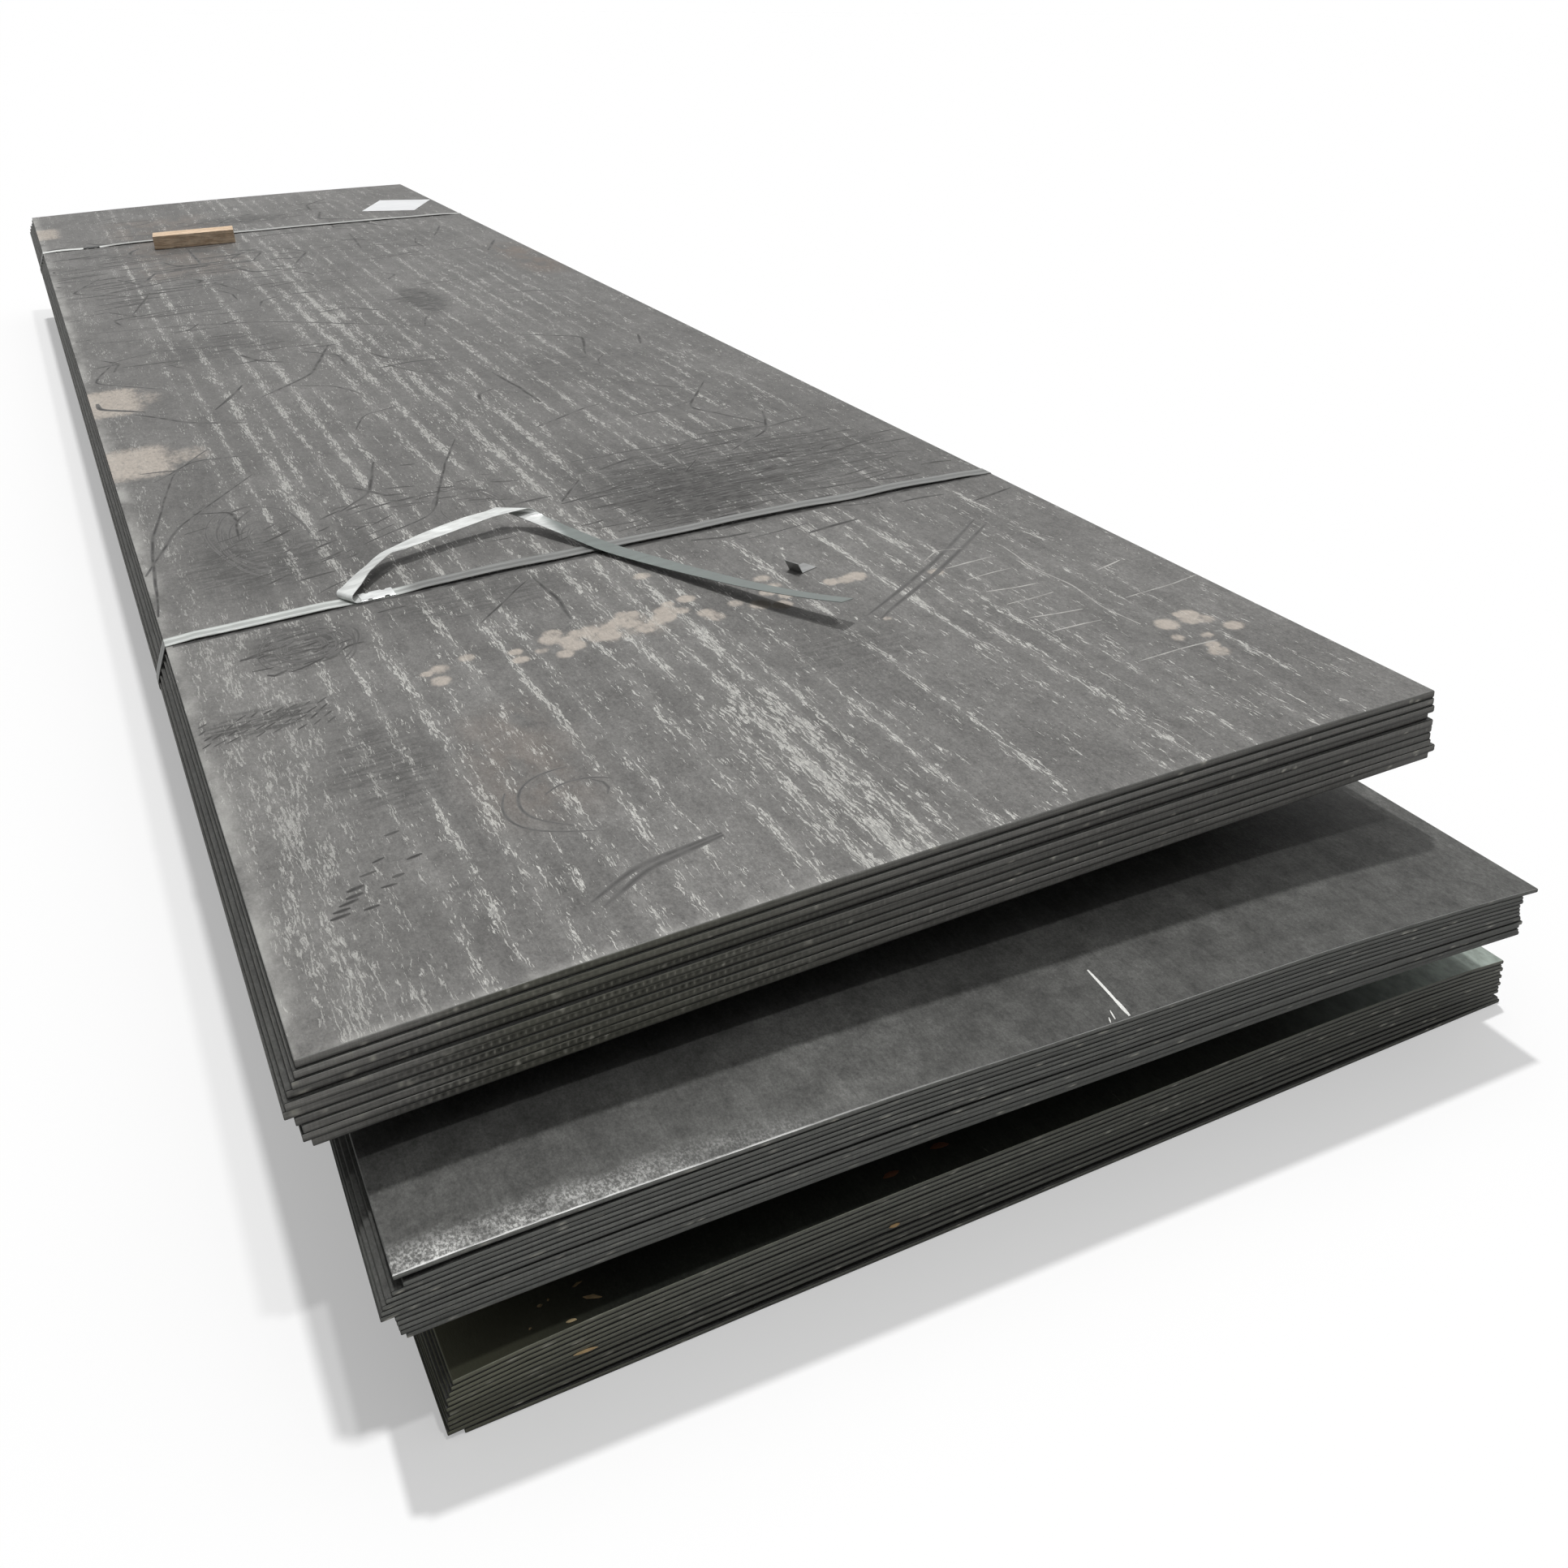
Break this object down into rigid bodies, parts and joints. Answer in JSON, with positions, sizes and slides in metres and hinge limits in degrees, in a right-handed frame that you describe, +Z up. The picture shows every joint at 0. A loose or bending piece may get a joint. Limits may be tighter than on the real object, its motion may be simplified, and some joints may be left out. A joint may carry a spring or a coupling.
{
  "type": "stack of steel plates",
  "caption": "Bundles of hot-rolled steel plate stacked on timber, slightly crowned, the top bundle strapped and tilted, one strap end sprung loose.",
  "frame": {"origin": "middle of the bounding box's base, on the floor under the lowest plate", "axes": "+X across the plates' width to the right seen from the front end, +Y along their length to the back end, +Z up"},
  "size_m": [1.7282, 6.207, 0.4835],
  "materials": {
    "plate_top": "hot-rolled mill scale, grey, with paler streaks along its length",
    "plate_middle": "hot-rolled mill scale, dull grey",
    "plate_bottom": "hot-rolled mill scale, dark grey",
    "strap": "bare strapping, dull",
    "seal": "bare crimped sheet, bright",
    "timber": "rough-sawn, weathered",
    "card": "plain paper"
  },
  "bodies": {
    "root": {"top_bundle_plate_01": "plate_top", "top_bundle_plate_02": "plate_top", "top_bundle_plate_03": "plate_top", "top_bundle_plate_04": "plate_top", "top_bundle_plate_05": "plate_top", "top_bundle_plate_06": "plate_top", "top_bundle_plate_07": "plate_top", "top_bundle_plate_08": "plate_top", "top_bundle_plate_09": "plate_top", "top_bundle_plate_10": "plate_top", "middle_bundle_plate_01": "plate_middle", "middle_bundle_plate_02": "plate_middle", "middle_bundle_plate_03": "plate_middle", "middle_bundle_plate_04": "plate_middle", "middle_bundle_plate_05": "plate_middle", "middle_bundle_plate_06": "plate_middle", "middle_bundle_plate_07": "plate_middle", "middle_bundle_plate_08": "plate_middle", "middle_bundle_plate_09": "plate_middle", "middle_bundle_plate_10": "plate_middle", "middle_bundle_plate_11": "plate_middle", "middle_bundle_plate_12": "plate_middle", "bottom_bundle_plate_01": "plate_bottom", "bottom_bundle_plate_02": "plate_bottom", "bottom_bundle_plate_03": "plate_bottom", "bottom_bundle_plate_04": "plate_bottom", "bottom_bundle_plate_05": "plate_bottom", "bottom_bundle_plate_06": "plate_bottom", "bottom_bundle_plate_07": "plate_bottom", "bottom_bundle_plate_08": "plate_bottom", "bottom_bundle_plate_09": "plate_bottom", "bottom_bundle_plate_10": "plate_bottom", "bottom_bundle_plate_11": "plate_bottom", "bottom_bundle_plate_12": "plate_bottom", "lower_timber_1": "timber", "lower_timber_2": "timber", "lower_timber_3": "timber", "low_packer_1": "timber", "low_packer_2": "timber", "low_packer_3": "timber", "high_packer_1": "timber", "high_packer_2": "timber", "high_packer_3": "timber", "front_strap": "strap", "back_strap": "strap", "front_seal": "seal", "back_seal": "seal", "loose_strap_end": "strap", "loose_seal": "seal", "timber_block": "timber", "blank_card": "card"}
  },
  "joints": []
}
